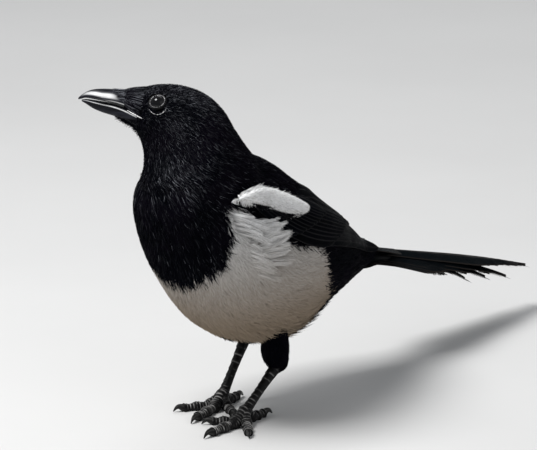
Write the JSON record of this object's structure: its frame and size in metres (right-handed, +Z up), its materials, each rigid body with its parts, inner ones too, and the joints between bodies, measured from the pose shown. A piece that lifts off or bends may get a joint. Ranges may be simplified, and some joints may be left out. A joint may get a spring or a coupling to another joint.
{
  "type": "eurasian magpie",
  "caption": "Life-size still model of a standing Eurasian magpie, head turned to its right, bill slightly open, long graduated tail held straight back.",
  "frame": {"origin": "middle of the bounding box on the floor, level with the soles", "axes": "the bird faces -X with its tail towards +X, its left side is -Y, +Z is up"},
  "size_m": [0.3642, 0.0904, 0.2007],
  "materials": {
    "black_plumage": "soft black with a faint blue and violet gloss",
    "white_plumage": "soft matte white, slightly warm",
    "wing_feathers": "satin black with a blue gloss",
    "tail_feathers": "satin black with a green gloss, browner at the worn tips",
    "bill_horn": "semi-gloss black horn",
    "leg_scales": "dull black scutes with paler edges",
    "eye": "wet gloss, nearly black brown"
  },
  "bodies": {
    "root": {"back": "black_plumage", "belly": "white_plumage", "bill_lower": "bill_horn", "bill_upper": "bill_horn", "breast": "black_plumage", "claw_hind_left": "bill_horn", "claw_hind_right": "bill_horn", "claw_inner_left": "bill_horn", "claw_inner_right": "bill_horn", "claw_middle_left": "bill_horn", "claw_middle_right": "bill_horn", "claw_outer_left": "bill_horn", "claw_outer_right": "bill_horn", "eye_left": "eye", "eye_right": "eye", "foot_left": "leg_scales", "foot_right": "leg_scales", "head": "black_plumage", "neck": "black_plumage", "scapulars_left": "white_plumage", "scapulars_right": "white_plumage", "tail": "tail_feathers", "tarsus_left": "leg_scales", "tarsus_right": "leg_scales", "thigh_left": "black_plumage", "thigh_right": "black_plumage", "vent": "black_plumage", "wing_left": "wing_feathers", "wing_right": "wing_feathers"}
  },
  "joints": []
}
